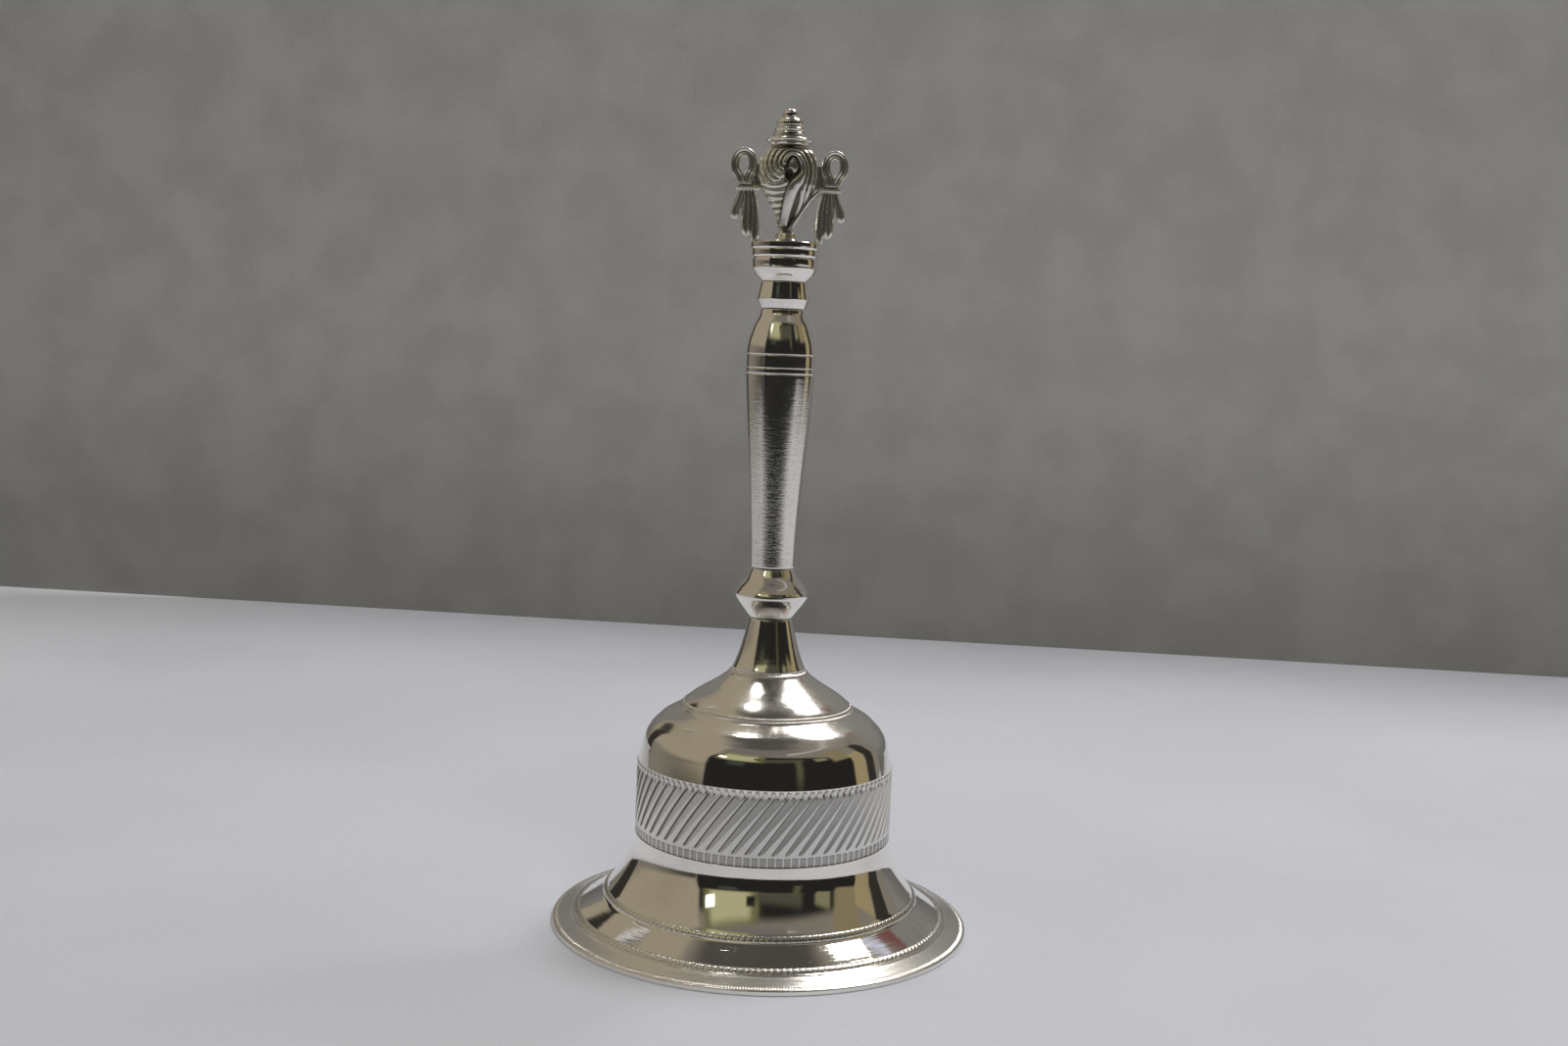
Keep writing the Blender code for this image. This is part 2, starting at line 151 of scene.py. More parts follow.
def turn(outline, segments, relief=None, twist=None):
    """Vertices, faces and painted shade of a turned outline, which runs down its outer side.

    relief takes the angle, radius and height of every vertex and returns a new radius, height and painted
    shade.
    twist gives the angle by which a ring is turned at its height, so that columns follow slanted lines.
    """
    profile = np.array(outline, float)
    ends_on_axis = profile[0, 0] == 0 and profile[-1, 0] == 0
    rings = profile[1:-1] if ends_on_axis else profile
    angle = np.arange(segments)[None, :] * tau / segments
    angle = angle + (twist(rings[:, 1:]) if twist else np.zeros((len(rings), 1)))
    radius = np.repeat(rings[:, :1], segments, 1)
    height = np.repeat(rings[:, 1:], segments, 1)
    painted_shade = np.zeros(radius.shape)
    if relief:
        radius, height, painted_shade = relief(angle, radius, height)
    verts = np.stack([radius * np.cos(angle), radius * np.sin(angle), height], -1).reshape(-1, 3)
    painted_shade = (painted_shade + 0 * radius).ravel()
    count = len(rings)
    index = np.arange(count * segments).reshape(count, segments)
    if ends_on_axis:
        low, high = index[:-1], index[1:]
    else:
        low, high = index, np.roll(index, -1, 0)
    quads = np.stack([low, high, np.roll(high, -1, 1), np.roll(low, -1, 1)], -1).reshape(-1, 4).tolist()
    if ends_on_axis:
        top, bottom = len(verts), len(verts) + 1
        verts = np.vstack([verts, [[0, 0, profile[0, 1]], [0, 0, profile[-1, 1]]]])
        first, last = index[0], index[-1]
        quads += [[top, int(a), int(b)] for a, b in zip(first, np.roll(first, -1))]
        quads += [[bottom, int(b), int(a)] for a, b in zip(last, np.roll(last, -1))]
        painted_shade = np.append(painted_shade, [0, 0])
    return verts, quads, painted_shade


def turned_piece(name, outline, segments, material, nodes, relief=None, twist=None, **more):
    verts, faces, painted_shade = turn(outline, segments, relief, twist)
    return piece(name, verts, faces, material, nodes, painted_shade=painted_shade if relief else None, **more)


def half_circle(x):
    """A rounded ridge over -1..1, zero outside it."""
    return np.sqrt(np.clip(1.0 - x * x, 0.0, None))


def step(low, high, x):
    """A smooth step from 0 to 1."""
    t = np.clip((x - low) / (high - low), 0.0, 1.0)
    return t * t * (3.0 - 2.0 * t)


def wrap(x):
    """The fractional part, centred on zero: -0.5 to 0.5."""
    return x - np.round(x)


# ---------------------------------------------------------------- materials

class Nodes:
    """A small helper that builds a material's or world's node tree."""

    def __init__(self, tree):
        self.tree = tree
        self.nodes = tree.nodes
        self.links = tree.links

    def put(self, target, value):
        if isinstance(value, bpy.types.NodeSocket):
            self.links.new(value, target)
        else:
            target.default_value = value

    def new(self, kind, **settings):
        node = self.nodes.new(kind)
        for key, value in settings.items():
            setattr(node, key, value)
        return node

    def math(self, operation, a, b=0.0, c=0.0, clamp=False):
        node = self.new("ShaderNodeMath", operation=operation, use_clamp=clamp)
        for socket, value in zip(node.inputs, (a, b, c)):
            self.put(socket, value)
        return node.outputs[0]

    def add(self, a, b, clamp=False):
        return self.math("ADD", a, b, clamp=clamp)

    def times(self, a, b):
        return self.math("MULTIPLY", a, b)

    def most(self, a, b):
        return self.math("MAXIMUM", a, b)

    def ramp(self, value, low, high, out_low=0.0, out_high=1.0):
        """A smooth step from out_low to out_high as value goes from low to high."""
        node = self.new("ShaderNodeMapRange", interpolation_type="SMOOTHSTEP")
        for socket, item in zip(node.inputs, (value, low, high, out_low, out_high)):
            self.put(socket, item)
        return node.outputs[0]

    def mix(self, factor, a, b):
        node = self.new("ShaderNodeMix", data_type="RGBA")
        self.put(node.inputs[0], factor)
        self.put(node.inputs[6], a)
        self.put(node.inputs[7], b)
        return node.outputs[2]

    def noise(self, vector, scale, detail=2.0, roughness=0.5):
        node = self.new("ShaderNodeTexNoise")
        self.put(node.inputs["Vector"], vector)
        node.inputs["Scale"].default_value = scale
        node.inputs["Detail"].default_value = detail
        node.inputs["Roughness"].default_value = roughness
        return node.outputs["Fac"]

    def combine(self, x, y, z):
        node = self.new("ShaderNodeCombineXYZ")
        for socket, value in zip(node.inputs, (x, y, z)):
            self.put(socket, value)
        return node.outputs[0]

    def split(self, vector):
        node = self.new("ShaderNodeSeparateXYZ")
        self.put(node.inputs[0], vector)
        return node.outputs


class Spot:
    """What a metal's nodes read at a shaded point."""

    def __init__(self, n):
        self.n = n
        self.place = n.new("ShaderNodeTexCoord").outputs["Object"]
        self.x, self.y, self.z = n.split(self.place)
        self.radius = n.math("SQRT", n.add(n.times(self.x, self.x), n.times(self.y, self.y)))
        self.angle = n.math("ARCTAN2", self.y, self.x)
        self.along = n.add(self.z, n.times(self.radius, 1.7))
        self.normal = n.split(n.new("ShaderNodeNewGeometry").outputs["Normal"])
        self.cloud = n.noise(self.place, 90.0, 4.0, 0.6)
        self.specks = n.noise(self.place, 900.0, 3.0, 0.6)
        pointy = n.new("ShaderNodeNewGeometry").outputs["Pointiness"]
        # The attribute read here is shade painted into the recesses of the band, the knurls and the conch;
        # pointiness adds tarnish in hollows.
        painted_shade = n.new("ShaderNodeAttribute", attribute_name="painted_shade").outputs["Fac"]
        self.crevice = n.most(n.ramp(pointy, 0.497, 0.44), painted_shade)

    def rings(self, across, along, roughness):
        """Noise drawn out round the Z axis, from its frequencies across a turn and along the profile."""
        n = self.n
        vector = n.combine(n.times(n.math("COSINE", self.angle), across),
                           n.times(n.math("SINE", self.angle), across), n.times(self.along, along))
        return n.noise(vector, 1.0, 3.0, roughness)


def tarnish_and_shade(n, spot, wear):
    """How tarnished and shaded it is, 0 to 1: tarnish in clouds and specks, and tarnish with painted shade in
    crevices.
    """
    clouds = n.times(n.ramp(spot.cloud, 0.45, 0.75), 0.30 * wear)
    dark = n.add(clouds, n.times(spot.crevice, 0.9), clamp=True)
    return n.add(dark, n.times(n.ramp(spot.specks, 0.62, 0.75), 0.25 * wear), clamp=True)


def worn_roughness(n, spot, rough, wear):
    """The base roughness with clouds, specks and crevices added."""
    roughness = n.add(rough, n.times(n.ramp(spot.cloud, 0.4, 0.8), 0.10 * wear))
    roughness = n.add(roughness, n.times(n.ramp(spot.specks, 0.55, 0.72), 0.10 * wear))
    return n.add(roughness, n.times(spot.crevice, 0.20))


def scratches(n, spot):
    """The depth in mm of short level scratches, from just under the grip's engraved lines down."""
    vector = n.combine(n.times(spot.x, 800.0), n.times(spot.y, 800.0), n.times(spot.z, 2800.0))
    return n.times(n.noise(vector, 1.0, 3.0, 0.7), n.ramp(spot.z, 0.104, 0.095, 0.0, 0.016))


def scuffs(n, spot, depth):
    """Extra roughness and depth in mm of fine scratches where the dome and shoulder look up."""
    hair = n.noise(spot.place, 3600.0, 4.0, 0.75)
    worn = n.times(n.ramp(spot.normal[2], 0.45, 0.85), n.ramp(spot.z, 0.033, 0.037))
    return n.times(worn, n.ramp(hair, 0.45, 0.7, 0.09, 0.22)), n.times(worn, n.times(hair, depth))


def looks_inward(n, spot):
    """1 on faces that look at the axis or straight down."""
    outward = n.add(n.times(spot.normal[0], spot.x), n.times(spot.normal[1], spot.y))
    inward = n.ramp(n.math("DIVIDE", outward, n.most(spot.radius, 0.0001)), -0.02, -0.12)
    return n.most(inward, n.ramp(spot.normal[2], -0.80, -0.95))


def finish_metal(n, color, roughness, height, frost, brush):
    """Sets the shader from the worked-out colour, roughness and bump height in mm."""
    shader = n.nodes["Principled BSDF"]
    n.put(shader.inputs["Base Color"], color)
    n.put(shader.inputs["Roughness"], n.math("MINIMUM", roughness, 0.9))
    shader.inputs["Metallic"].default_value = 1.0 - frost
    if brush:
        shader.inputs["Anisotropic"].default_value = brush
        shader.inputs["Anisotropic Rotation"].default_value = 0.25
        tangent = n.new("ShaderNodeTangent", direction_type="RADIAL", axis="Z")
        n.put(shader.inputs["Tangent"], tangent.outputs[0])
    bump = n.new("ShaderNodeBump")
    bump.inputs["Strength"].default_value = 1.0
    bump.inputs["Distance"].default_value = MM
    n.put(bump.inputs["Height"], height)
    n.put(shader.inputs["Normal"], bump.outputs[0])


def metal(name, light, dark, rough, lathe=0.0, grain=0.0, wear=0.5, streak=0.0, brush=0.0, inner=None,
          outer=None, scuff=0.0, frost=0.0):
    """A worn metal. light and dark are its clean and its tarnished colour, dark also standing for the shade
    painted in its crevices, and rough its base roughness.

    lathe and grain are the depths in mm of turning marks round the Z axis and of a frosted skin, and
    wear is how blotched it is. streak roughens short bands round the axis. brush stretches highlights
    across them and scratches the grip, as polishing does. scuff is the depth in mm of scratches on
    the dome, and frost the share of a dull white skin. inner is a colour for faces that look at the
    axis. outer gives a radius in mm beyond which the turning marks are deep, one beyond which it is
    dull, and how dull.
    """
    material = bpy.data.materials.new(name)
    material.use_nodes = True
    n = Nodes(material.node_tree)
    spot = Spot(n)
    color = n.mix(tarnish_and_shade(n, spot, wear), (*light, 1.0), (*dark, 1.0))
    roughness = worn_roughness(n, spot, rough, wear)
    height = n.times(spot.specks, 0.0025 * wear)
    if streak:
        marks = n.times(n.ramp(spot.rings(2.2, 5200.0, 0.65), 0.46, 0.60), streak)
        if brush:
            marks = n.times(marks, n.ramp(spot.z, 0.103, 0.080, 0.35, 1.0))
            height = n.add(height, scratches(n, spot))
        roughness = n.add(roughness, marks)
    if scuff:
        dull, depth = scuffs(n, spot, scuff)
        roughness = n.add(roughness, dull)
        height = n.add(height, depth)
    if inner:
        inside = looks_inward(n, spot)
        color = n.mix(inside, color, (*inner, 1.0))
        roughness = n.add(roughness, n.times(inside, 0.22))
    if outer:
        deep_from, dull_from, dull = outer
        lathe = n.ramp(spot.radius, deep_from * MM, (deep_from + 0.3) * MM, lathe, lathe * 6.0)
        roughness = n.add(roughness, n.ramp(spot.radius, dull_from * MM, (dull_from + 0.3) * MM, 0.0, dull))
    if lathe:
        height = n.add(height, n.times(spot.rings(1.0, 1800.0, 0.75), lathe))
    if grain:
        height = n.add(height, n.times(n.noise(spot.place, 4200.0, 3.0, 0.7), grain))
    finish_metal(n, color, roughness, height, frost, brush)
    return material


SILVER = (0.93, 0.90, 0.85)
TARNISH = (0.40, 0.36, 0.28)
# Dark colour of the band and the cast finial: real grime, and the shade painted into their flutes, slots,
# valleys and gaps.
GRIME_AND_SHADE = (0.10, 0.085, 0.06)
DULL = (0.74, 0.68, 0.56)
MIRROR = metal("mirror_plate", SILVER, TARNISH, 0.04, lathe=0.003, inner=DULL, outer=(29.9, 34.9, 0.17),
               scuff=0.005)
TURNED = metal("turned_plate", SILVER, TARNISH, 0.07, lathe=0.008, wear=0.7, streak=0.05)
# The knurls' dark colour is also the shade painted into their grooves.
KNURLED = metal("knurled_plate", SILVER, (0.30, 0.27, 0.21), 0.24, grain=0.006, wear=0.6)
BRUSHED = metal("brushed_plate", SILVER, TARNISH, 0.09, lathe=0.009, wear=0.6, streak=0.09, brush=0.6)
SATIN = metal("satin_plate", (0.94, 0.93, 0.91), GRIME_AND_SHADE, 0.40, grain=0.010, wear=0.3, frost=0.22)
CAST = metal("cast_plate", (0.88, 0.85, 0.78), GRIME_AND_SHADE, 0.27, grain=0.010, wear=0.55, frost=0.05)
BRASS = metal("inner_brass", (0.76, 0.60, 0.34), (0.40, 0.28, 0.15), 0.26, lathe=0.012, wear=1.0)
STEEL = metal("inner_steel", (0.56, 0.55, 0.54), (0.28, 0.24, 0.20), 0.30, lathe=0.008, wear=1.0)


# ---------------------------------------------------------------- the bell cup

BAND_TOP = 31.0
BAND_BOTTOM = 17.45
BAND_RADIUS = 24.0
FLUTES = 63
SCALLOPS = 105
SLOTS = 105
FLUTE_LOW = 19.65
FLUTE_HIGH = 29.9


def bell_body_outline():
    """The cup's wall: crown, shoulder, dome, a plain seat under the band, skirt, flange and inner side."""
    top = CROWN_TOP
    crown = [(BORE + 0.3, top), (6.75, top), (7.4, 47.85)]
    shoulder = flow([(7.65, 47.55), (8.5, 46.88), (10.0, 45.81), (11.3, 45.0), (12.6, 44.23), (13.8, 43.45),
                     (14.9, 42.6), (15.6, 41.9)], 8)
    under_milling = [(15.9, 41.6), (16.5, 41.0)]
    dome = flow([(17.6, 40.5), (18.7, 39.9), (19.7, 39.25), (20.8, 38.2), (21.55, 37.4), (22.3, 36.3),
                 (22.75, 35.2), (23.05, 34.1), (23.32, 33.05), (23.58, 32.0), (23.82, 31.0)], 6)
    seat = [(23.5, BAND_TOP - 1.0), (23.5, BAND_BOTTOM - 0.12), (23.95, BAND_BOTTOM - 0.12)]
    wall = [(24.0, BAND_BOTTOM - 0.2), (24.0, 15.75)]
    skirt = flare(24.0, 15.65, 7.1, ((0.0, 4.0), (0.35, 28.0), (1.0, 39.0)))
    cone = [(29.6, 5.5), (30.2, 5.05), (33.9, 2.95), (34.3, 2.6)]
    flange = [(34.9, 2.25), (36.5, 1.7), (38.85, 0.95)]
    under = [(RIM_RADIUS, 0.8), (RIM_RADIUS, 0.10), (RIM_RADIUS - 0.1, 0.0), (33.6, 0.0)]
    inner_skirt = bezier((28.2, 5.0), (25.4, 9.0), (22.6, 12.6), (22.3, 17.0), 24)
    inner_dome = arc((13.0, 32.0), (8.4, 8.7), 0, 60, 24)
    boss = [(6.2, 45.0), (BORE + 0.3, 45.0)]
    points = (crown + shoulder + under_milling + dome + seat + wall + skirt + cone + flange + under
              + inner_skirt + [(22.2, 29.4)] + inner_dome + boss)
    return fillet(points, 0.12)


def flare(radius, high, low, lean):
    """A flaring wall going down from a radius. lean lists its lean in degrees by share of its height."""
    shares, angles = zip(*lean)
    heights = np.linspace(high, low, 60)
    points = [(radius, high)]
    for above, below in zip(heights, heights[1:]):
        share = (high - (above + below) / 2) / (high - low)
        radius += (above - below) * np.tan(radians(np.interp(share, shares, angles)))
        points.append((radius, below))
    return points


def band_height(angle):
    """The band's top edge: rounded tongues with notches between them."""
    across = wrap(angle * SCALLOPS / tau) / 0.40
    return BAND_TOP - 1.1 + 1.1 * half_circle(across) ** 0.8


def flute_twist(height):
    """How far the slanted flutes have turned, in radians, on the way up to a height."""
    share = np.clip((height - FLUTE_LOW) / (FLUTE_HIGH - FLUTE_LOW), 0.0, 1.0)
    return share * (FLUTE_HIGH - FLUTE_LOW) * (0.68 + 0.04 * share) / BAND_RADIUS


def band_relief(angle, radius, height):
    """Slanted flutes, tongues along the top edge and a row of slots along the bottom edge."""
    outside = radius > BAND_RADIUS - 0.2
    base = BAND_TOP - 1.6
    edge = band_height(angle)
    rise = (height - base) / (BAND_TOP - base)
    height = np.where(height > base, base + (edge - base) * rise, height)

    low, high = FLUTE_LOW, FLUTE_HIGH
    share = (height - low) / (high - low)
    phase = ((angle - flute_twist(height)) * FLUTES / tau + 0.001) % 1.0
    width = 0.36 + 0.58 * np.clip(share, 0.0, 1.0) ** 0.9
    width = width * half_circle(np.clip((low + 0.45 - height) / 0.5, 0.0, 1.0))
    wall = 0.05
    across = np.clip((phase - wall) / np.clip(width - wall, 0.02, None), 0.0, 1.0)
    scoop = np.where(phase < wall, phase / wall, (1.0 - across) ** 0.8)
    inside = (phase < width) * step(high + 0.5, high - 0.4, height)
    cut = 0.32 * scoop * inside
    # Painted shade: faint over each flute and darkest at its steep left wall.
    painted_shade = inside * (0.16 + 0.84 * step(0.22, 0.0, across) * step(0.0, wall, phase))

    tooth = wrap(angle * SLOTS / tau)
    slot = step(0.42, 0.36, np.abs(tooth)) * step(19.1, 18.9, height)
    cut = cut + 0.20 * slot
    # Painted shade in the slots.
    painted_shade = np.maximum(painted_shade, 0.42 * slot)

    across = np.clip(wrap(angle * SCALLOPS / tau) / 0.42, -1.0, 1.0)
    valley = 1.0 - half_circle(across)
    cut = cut + 0.34 * step(high - 0.7, high, height) * valley
    deep = np.clip(valley * 2.0 - 1.0, 0.0, 1.0)
    # Painted shade in the valleys between the tongues.
    painted_shade = np.maximum(painted_shade, 0.6 * step(high - 0.2, high + 0.4, height) * deep)
    cut = cut + 0.35 * (1.0 - half_circle(np.clip((height - edge + 0.35) / 0.35, 0.0, 1.0)))
    return np.where(outside, radius - cut, radius), height, painted_shade * outside


def make_bell():
    turned_piece("bell_body", bell_body_outline(), 288, MIRROR, ["bell_shell"])
    rows = np.concatenate([np.linspace(BAND_TOP, 29.4, 15), np.linspace(29.2, 19.7, 42),
                           np.linspace(19.5, 18.8, 8), [18.3, 17.9, BAND_BOTTOM]])
    outline = [(23.1, BAND_TOP - 0.2)] + [(BAND_RADIUS, z) for z in rows] + [(23.1, BAND_BOTTOM)]
    turned_piece("bell_band", outline, 20 * FLUTES, SATIN, ["bell_shell"], relief=band_relief,
                 twist=flute_twist, sharp=55)


def knurl(name, radius, height, size, slope, teeth, slant, samples=8, notch=0.0):
    """A low milled ridge round the cup. size is its half width and half thickness.

    slope is its tilt in degrees. It carries rounded teeth, which lean by slant of their pitch from one
    edge to the other. notch is the depth of a shallower cut in the middle of each tooth.
    """
    tilt = radians(slope)
    turns = np.arange(14) * tau / 14
    width, thick = size
    outline = [(radius + width * cos(a) * cos(tilt) + thick * sin(a) * sin(tilt),
                height - width * cos(a) * sin(tilt) + thick * sin(a) * cos(tilt)) for a in -turns]

    def cut(angle, r, z):
        over = ((r - radius) * sin(tilt) + (z - height) * cos(tilt)) / thick
        along = ((r - radius) * cos(tilt) - (z - height) * sin(tilt)) / width
        tooth = wrap(angle * teeth / tau + along * slant)
        groove = 1.0 - half_circle(2.0 * tooth) * (1.0 - notch * step(0.14, 0.0, np.abs(tooth)))
        depth = 0.75 * groove * np.clip(over, 0.0, 1.0) * thick
        # The third value is painted shade, darkest down in each groove between the teeth.
        return r - depth * sin(tilt), z - depth * cos(tilt), np.clip(groove * 1.6 - 0.5, 0.0, 1.0)

    return turned_piece(name, outline, teeth * samples, KNURLED, ["bell_shell"], relief=cut, sharp=60)


def make_knurling():
    """The milled lines: under the neck, on the shoulder, and above and below the skirt's foot."""
    knurl("crown_milling", 7.2, 48.0, (0.42, 0.13), 42, 92, 0.0)
    knurl("shoulder_milling_upper", 15.66, 41.82, (0.28, 0.20), 46, 185, 0.0)
    knurl("shoulder_milling_lower", 16.06, 41.34, (0.26, 0.20), 45, 185, 0.5)
    knurl("skirt_milling", 29.15, 6.25, (0.62, 0.27), 56, 163, 0.35, 12, 0.5)
    knurl("flange_milling", 34.35, 2.65, (0.58, 0.27), 32, 191, 0.35, 12, 0.5)
    ridge = arc((35.3, 2.03), (0.2, 0.2), 180, -180, 12)[:-1]
    turned_piece("flange_ridge", ridge, 288, TURNED, ["bell_shell"])
    knurl("rim_milling", 38.3, 1.06, (0.48, 0.15), 18, 490, 0.0, 4)


# ---------------------------------------------------------------- the stacked handle

TURNED_STEPS = 192


def make_neck():
    _, low, high = span("neck_cone")
    foot = low - 0.28
    outline = [(BORE, high), (3.95, high)]
    outline += flow([(4.0, high - 0.1), (5.2, 53.0), (6.1, 50.2), (6.75, low)], 10)
    outline += [(6.75, foot), (BORE, foot)]
    turned_piece("neck", fillet(outline, 0.1), TURNED_STEPS, TURNED, ["neck_cone"])


def make_knob():
    """The double cone: a flared top, a rounded edge at its widest and a tapering foot."""
    _, low, high = span("lower_knob")
    outline = [(BORE, high), (3.9, high)]
    outline += flow([(3.95, high - 0.15), (4.7, 65.7), (5.9, 64.2), (6.6, 63.1)], 8)
    outline += flow([(6.77, 62.6), (6.72, 62.1), (6.3, 61.4)], 6)
    outline += flow([(5.9, 60.8), (4.75, 59.3), (4.05, low + 0.1)], 6)
    outline += [(4.0, low), (BORE, low)]
    turned_piece("knob", fillet(outline, 0.15), TURNED_STEPS, TURNED, ["lower_knob"])


def make_spool():
    _, low, high = span("upper_collar")
    foot = low - 0.15
    outline = [(BORE, high), (4.2, high)]
    outline += flow([(4.32, high - 0.1), (4.45, 119.2), (4.66, 118.1), (4.9, 117.0)], 8)
    outline += [(4.86, 116.8), (4.2, low), (4.12, foot), (BORE, foot)]
    turned_piece("spool", fillet(outline, 0.12), 160, MIRROR, ["upper_collar"])


def make_cup():
    """The finial's cup: a socket and a boss on top, two bands round its side and a cone below."""
    radius, low, high = span("finial_cup")
    rim = high - 1.6
    foot = low - 0.25
    outline = [(0, 125.6), (1.5, 125.6), (1.5, high), (1.9, high), (2.1, rim + 0.6), (2.6, rim + 0.1)]
    outline += [(5.6, rim + 0.05), (6.25, rim)]
    outline += flow([(radius, rim - 0.25), (radius, rim - 0.7), (radius - 0.06, rim - 1.15)], 4)
    outline += [(6.12, rim - 1.4), (6.2, rim - 1.65), (6.12, rim - 2.6), (5.85, rim - 2.85), (6.0, rim - 3.1)]
    outline += flow([(6.05, rim - 3.5), (6.06, rim - 4.0), (5.98, rim - 4.5)], 4)
    outline += [(6.06, rim - 4.72)]
    outline += flow([(5.98, rim - 4.95), (5.5, rim - 5.75), (5.0, rim - 6.3), (4.42, rim - 6.8)], 5)
    outline += [(4.3, low), (4.2, foot)]
    outline += [(BORE, foot), (BORE, 124.3), (0, 124.3)]
    turned_piece("cup", fillet(outline, 0.15, closed=False), TURNED_STEPS, TURNED, ["finial_cup"])


def make_grip():
    """The baluster grip with its three engraved lines."""
    _, low, high = span("grip")
    widest = 6.49
    belly = flow([(4.15, high - 0.15), (4.3, high - 0.9), (4.65, high - 1.6), (5.25, high - 2.8),
                  (6.0, high - 5.0), (6.35, high - 6.5), (widest, high - 8.0)], 8)
    lower = bezier((6.48, high - 12.4), (5.75, high - 24.0), (4.35, low + 12.4), (4.06, low + 0.2), 120)
    lines = []
    for height, depth, half in ((106.8, 0.16, 0.16), (104.35, 0.07, 0.12), (103.3, 0.16, 0.16)):
        lines += [(widest, height + half), (widest - depth, height), (widest, height - half)]
    outline = [(BORE, high), (4.05, high)] + belly + lines + lower + [(4.0, low), (BORE, low)]
    turned_piece("grip_baluster", fillet(outline, 0.1), TURNED_STEPS, BRUSHED, ["grip"])


# ---------------------------------------------------------------- the finial

def make_cap():
    """The stepped cap: brim, two tiers, drum and ball tip."""
    _, low, high = span("finial_cap")
    seat = low + 3.0
    outline = [(0, high)] + arc((0, high - 1.15), (1.4, 1.15), 84, -35, 16)
    outline += arc((1.0, 148.6), (1.55, 1.15), 75, -15, 12)
    outline += [(2.3, 148.1), (2.3, 147.95), (2.75, 147.8), (2.9, 147.5), (2.75, 147.2), (2.8, 147.0),
                (3.05, 146.85), (3.05, 146.6), (2.95, 146.4), (3.6, 146.1), (4.3, 145.8),
                (4.42, 145.5), (4.2, 145.25), (3.7, 145.05), (3.4, seat + 0.2), (3.5, seat)]
    outline += [(1.2, seat), (1.2, low), (0, low)]
    turned_piece("cap", fillet(outline, 0.22, closed=False), 128, MIRROR, ["finial_cap"])


CONCH_TIP = 129.4
CONCH_SIDES = [  # height, left edge, right edge
    (129.4, 1.2, 0.9), (130.5, 1.45, 1.2), (131.5, 1.75, 1.8), (132.5, 2.2, 2.5), (133.8, 2.95, 3.3),
    (135.2, 3.85, 4.05), (136.4, 4.65, 4.6), (137.6, 5.2, 5.0), (139.0, 5.45, 5.2), (140.4, 5.45, 5.25),
    (141.6, 5.25, 5.15), (142.6, 4.9, 4.9), (143.3, 4.5, 4.6), (143.9, 3.95, 4.05), (144.2, 3.45, 3.5)]
LOBE_PATH = [  # the hooked lobe's ridge, (x, z) from its tip to the conch's foot
    (-0.75, 141.1), (-0.55, 141.9), (0.3, 142.85), (1.4, 142.65), (2.25, 141.3), (2.5, 139.9), (2.05, 138.5),
    (1.1, 137.1), (0.5, 135.6), (0.1, 133.8), (-0.2, 132.1), (-0.5, 130.4)]


def conch_section(height):
    """Half width, half depth and centre of the conch at each height."""
    heights, left, right = np.array(CONCH_SIDES).T
    left = np.interp(height, heights, left)
    right = np.interp(height, heights, right)
    half_width = (left + right) / 2
    return half_width, 0.72 * half_width, (right - left) / 2


def ribs(distance, pitch):
    """Rounded ridges with sharp valleys."""
    return half_circle(2.0 * wrap(distance / pitch - 0.5))


def path_distance(x, z, path):
    """Distance to a path, how far along it from 0 to 1, and which side: positive to its right going down."""
    line = np.array(flow(path, 6))
    best = np.full(x.shape, 99.0)
    share = np.zeros(x.shape)
    side = np.zeros(x.shape)
    count = len(line) - 1
    for i in range(count):
        a, b = line[i], line[i + 1]
        d = b - a
        t = np.clip(((x - a[0]) * d[0] + (z - a[1]) * d[1]) / (d @ d), 0.0, 1.0)
        gap = np.hypot(x - a[0] - t * d[0], z - a[1] - t * d[1])
        near = gap < best
        best = np.where(near, gap, best)
        share = np.where(near, (i + t) / count, share)
        side = np.where(near, np.sign((z - a[1]) * d[0] - (x - a[0]) * d[1]), side)
    return best, share, side


def conch_relief(x, z):
    """How far the shell stands out at a place on its front, and the shade painted into it: whorl, ribs,
    opening and lobe.
    """
    centre = (-2.4, 139.4)
    middle = centre[0] + 1.0 * step(138.5, 131.0, z)
    spiral = np.hypot((x - middle) * (1.0 - 0.25 * step(centre[1], 137.2, z)), z - centre[1])
    pitch = 0.82 + 0.26 * step(centre[1], 137.0, z)
    whorl = ribs(spiral - 0.70, pitch)
    bulb = half_circle(np.clip(np.hypot(x + 1.45, z - 139.1) / 0.85, 0.0, 1.0))

    gap, share, side = path_distance(x, z, LOBE_PATH)
    half = 0.40 + 0.55 * step(0.42, 0.62, share) - 0.30 * step(0.70, 1.0, share)
    lobe = half_circle(np.clip(gap / half, 0.0, 1.0)) ** 0.7
    open_gap = 0.85 * step(138.2, 134.5, z)
    beyond = gap - half - open_gap
    right = (side > 0) & (gap > half)
    strands = ribs(beyond + 0.05, 0.86) * step(-0.05, 0.0, beyond)
    ridge = np.where(right, strands, np.maximum(whorl, bulb))

    inside = (side < 0) * step(1.08, 0.98, np.hypot((x - 0.85) / 1.6, (z - 140.3) / 2.5))
    tongue = half_circle(np.clip(np.hypot((x - 0.95) / 0.95, (z - 140.9) / 1.45), 0.0, 1.0))
    ridge = ridge * (1.0 - inside) + 0.9 * tongue * inside
    ridge = np.where(gap < half, 0.6, ridge)
    hole = step(1.05, 0.45, np.hypot((x - 0.15 - 0.2 * (z - 139.2)) / 0.75, (z - 139.2) / 1.15))
    relief = 0.42 * ridge + 0.30 * bulb * (gap > half) + 0.80 * lobe - 0.9 * hole * (gap > half)
    # Painted shade: darkest in the valleys between ribs, along the lobe's edge and in the opening.
    painted_shade = np.clip(0.90 - 1.6 * ridge, 0.0, 1.0) * (gap > half)
    painted_shade = np.maximum(painted_shade, step(0.30, 0.0, np.abs(gap - half - 0.05)) * 0.8)
    return relief, np.maximum(painted_shade, 0.9 * hole * (gap > half))


